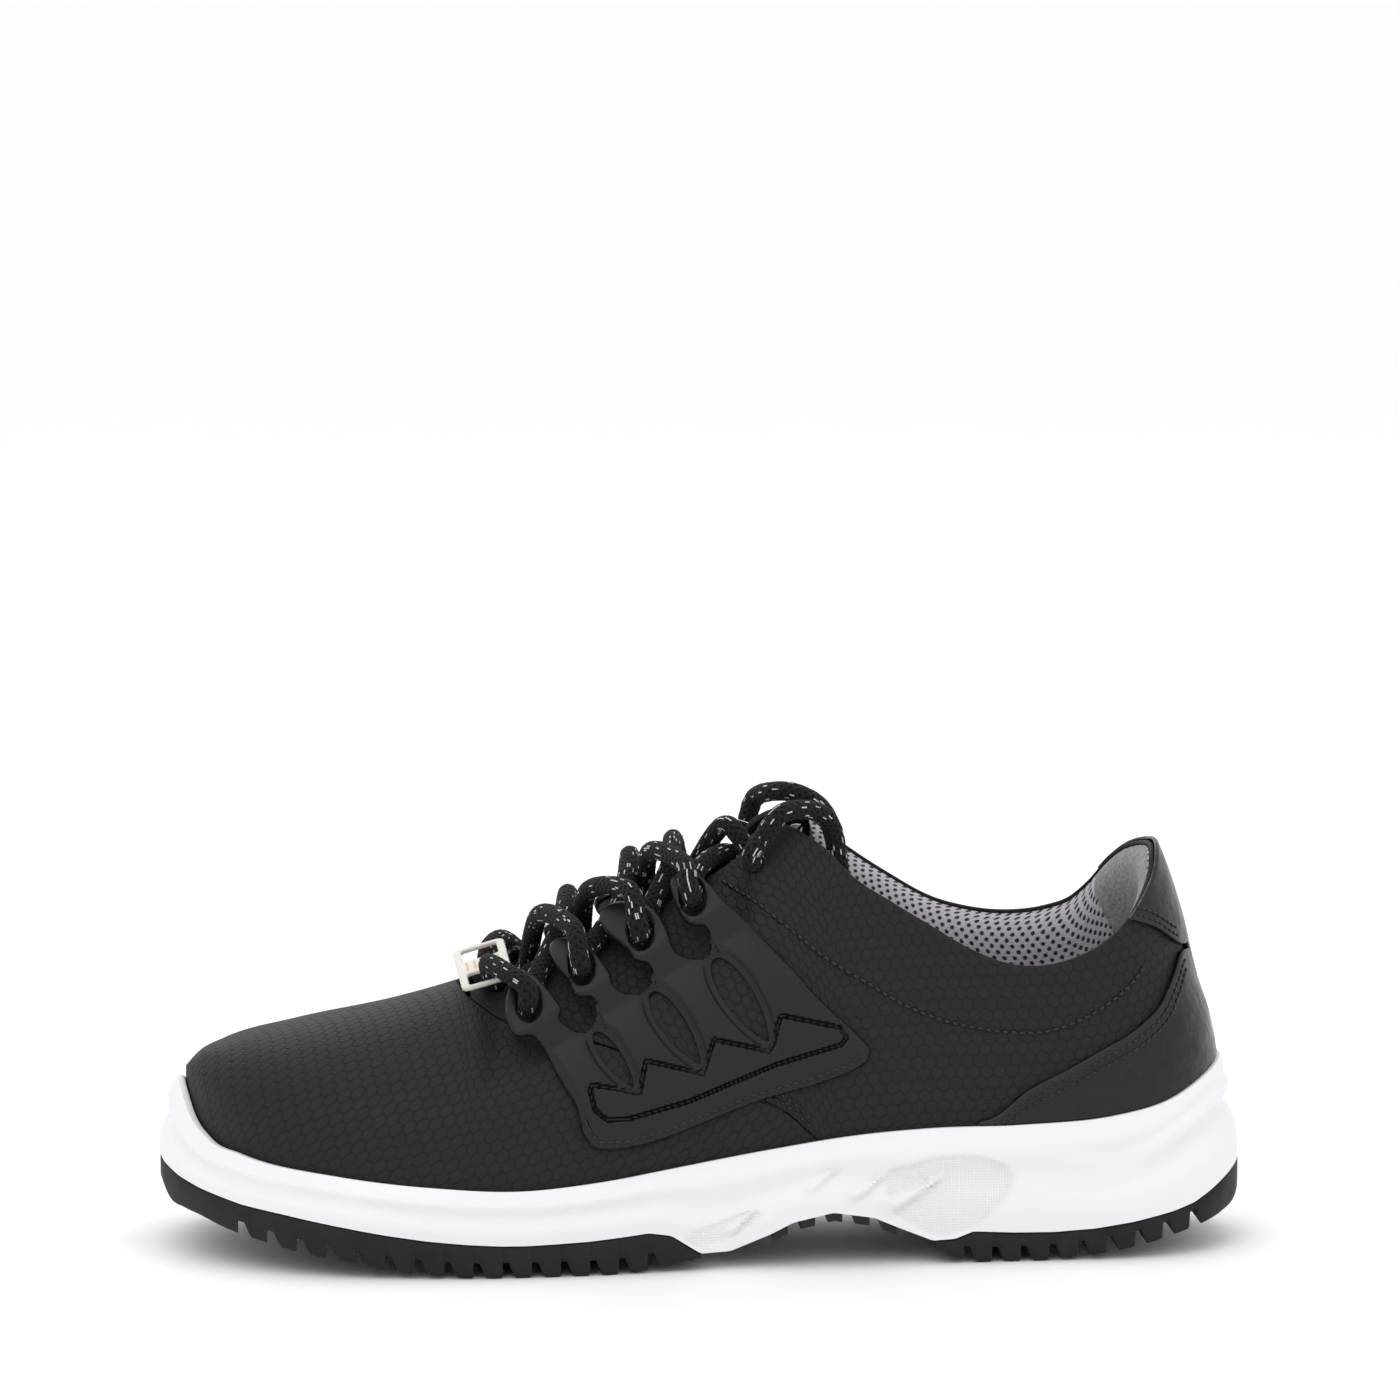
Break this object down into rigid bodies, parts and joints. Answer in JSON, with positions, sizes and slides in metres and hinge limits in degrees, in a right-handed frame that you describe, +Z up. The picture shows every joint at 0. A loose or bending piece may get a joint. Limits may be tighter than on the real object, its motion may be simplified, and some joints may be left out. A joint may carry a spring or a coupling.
{
  "type": "golf shoe",
  "caption": "Low lace-up golf shoe for the left foot: black pressed upper, moulded lace cages, padded mesh-lined collar, white midsole and black lugged rubber outsole.",
  "frame": {"origin": "on the ground under the middle of the sole, at the centre of the footprint's box", "axes": "+X from toe to heel along the sole, +Y towards the inner side of the foot, +Z up"},
  "size_m": [0.296, 0.1091, 0.1253],
  "materials": {
    "outsole_rubber": "moulded black rubber",
    "shank_plastic": "black moulded plastic",
    "midsole_foam": "white moulded foam, satin",
    "lasting_board": "stitched fibre board",
    "footbed_textile": "textile-covered foam",
    "upper_leather": "matt black synthetic leather, pressed with a small scale pattern",
    "overlay_leather": "smooth black leather, semi-gloss",
    "lining_mesh": "grey-lilac spacer mesh",
    "stiffener": "thermoplastic stiffener sheet",
    "collar_foam": "soft polyurethane foam",
    "tongue_textile": "padded tongue, black below and grey mesh at its top",
    "cage_plastic": "satin black thermoplastic",
    "lace_textile": "black braid with pale flecks",
    "aglet_plastic": "black plastic sleeve",
    "tag_plastic": "translucent plastic"
  },
  "bodies": {
    "shoe": {"outsole_forefoot": "outsole_rubber", "outsole_heel": "outsole_rubber", "arch_shank": "shank_plastic", "midsole": "midsole_foam", "lasting_board": "lasting_board", "footbed": "footbed_textile", "vamp": "upper_leather", "quarter_lateral": "upper_leather", "quarter_medial": "upper_leather", "heel_foxing": "overlay_leather", "heel_tab": "overlay_leather", "vamp_lining": "lining_mesh", "quarter_lining": "lining_mesh", "toe_puff": "stiffener", "heel_counter": "stiffener", "collar_foam": "collar_foam", "tongue": "tongue_textile", "lace_cage_lateral": "cage_plastic", "lace_cage_medial": "cage_plastic", "lace": "lace_textile", "lace_end_lateral": "lace_textile", "lace_end_medial": "lace_textile", "aglet_lateral": "aglet_plastic", "aglet_medial": "aglet_plastic"},
    "tag": {"lace_tag": "tag_plastic"}
  },
  "joints": [
    {"name": "lace_tag_flip", "type": "hinge", "parent": "shoe", "child": "tag", "pos_m": [-0.0584, -0.0037, 0.0723], "axis": [-0.2877, 0.9325, 0.2182], "range_deg": [-8, 6]}
  ]
}
